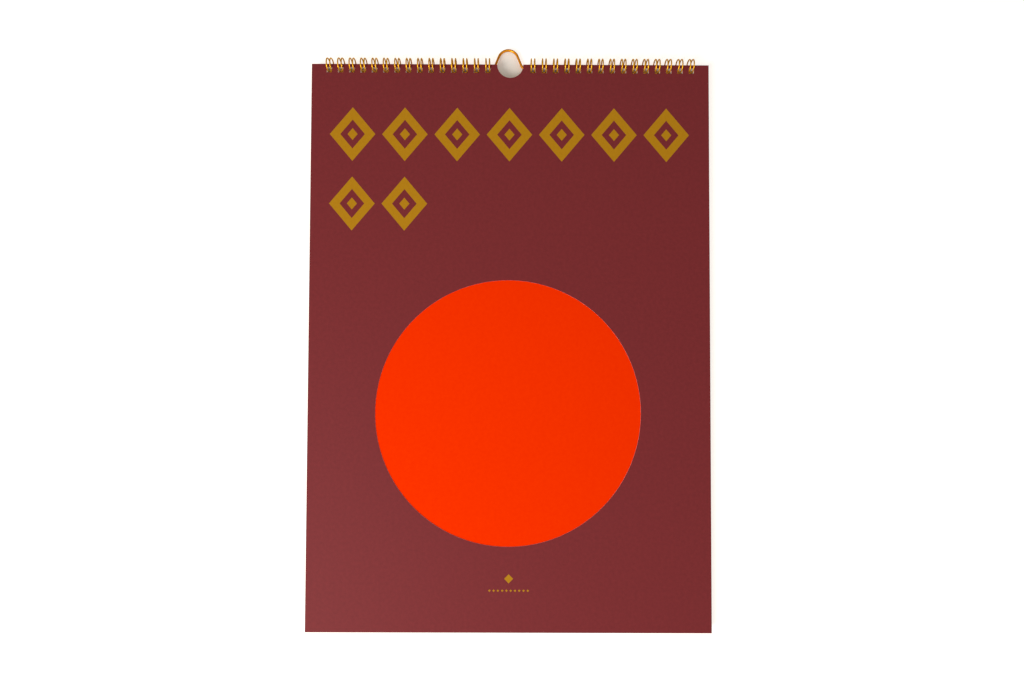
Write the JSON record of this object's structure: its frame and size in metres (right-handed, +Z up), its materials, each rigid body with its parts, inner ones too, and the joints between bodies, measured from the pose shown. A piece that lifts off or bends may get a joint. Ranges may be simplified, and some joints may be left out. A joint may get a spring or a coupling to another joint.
{
  "type": "wall calendar",
  "caption": "Wall calendar of punched sheets bound by twin-loop wire along the top edge, with a round window in its front cover and a wire hanger.",
  "frame": {"origin": "the inner top of the hanger's bail, where the nail or hook bears", "axes": "+Z up along the sheets' long side, +Y towards the wall, X along the binding; the front cover faces -Y"},
  "size_m": [0.297, 0.0098, 0.4344],
  "materials": {
    "cover_card": "matt printed dark red card with mustard-gold print",
    "orange_paper": "matt orange-red printed paper",
    "white_paper": "uncoated white paper",
    "grey_board": "grey-brown board",
    "gold_wire": "gold-coated steel wire",
    "hanger_wire": "gold-coated steel wire"
  },
  "bodies": {
    "bound_block": {"title_sheet": "orange_paper", "month_sheets": "white_paper", "back_board": "grey_board", "left_binding_wire": "gold_wire", "right_binding_wire": "gold_wire"},
    "cover": {"front_cover": "cover_card"},
    "hanger": {"hanger_wire": "hanger_wire"}
  },
  "joints": [
    {"name": "cover_turn", "type": "hinge", "parent": "bound_block", "child": "cover", "pos_m": [0, -0.0028, -0.0124], "axis": [-1, 0, 0], "range_deg": [0, 180]},
    {"name": "hanger_fold", "type": "hinge", "parent": "bound_block", "child": "hanger", "pos_m": [0, 0, -0.01341], "axis": [-1, 0, 0], "range_deg": [0, 175]}
  ]
}
